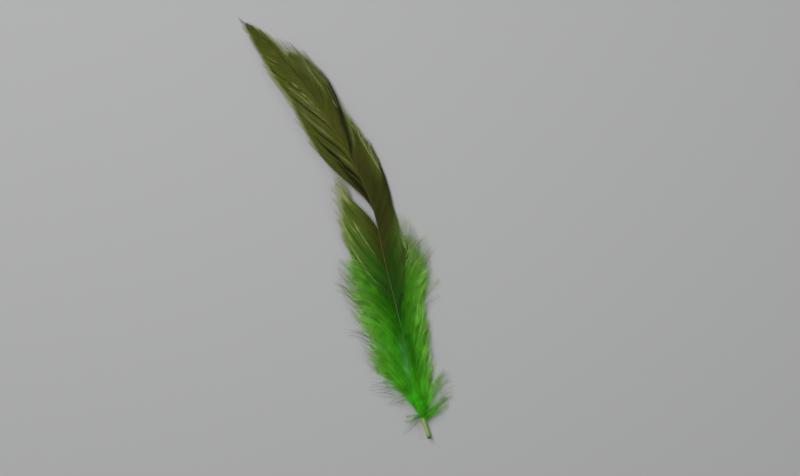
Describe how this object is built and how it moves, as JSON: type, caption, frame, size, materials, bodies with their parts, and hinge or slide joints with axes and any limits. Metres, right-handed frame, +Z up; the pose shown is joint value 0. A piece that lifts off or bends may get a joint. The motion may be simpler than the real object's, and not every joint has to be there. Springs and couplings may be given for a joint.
{
  "type": "dyed feather",
  "caption": "Slim dyed feather with a bare quill, fluffy bright green down at its foot and a long olive blade, split on its left side, that ends in a point.",
  "frame": {"origin": "middle of the feather's outline, on the surface that it lies on", "axes": "+Y along the feather from the quill's cut end to the tip, +Z up from the surface, +X to the right seen from above"},
  "size_m": [0.0435, 0.1635, 0.0056],
  "materials": {
    "feather": "matt barbs with a faint sheen: bright green down, olive brown blade, pale green quill"
  },
  "bodies": {
    "root": {"feather": "feather"}
  },
  "joints": []
}
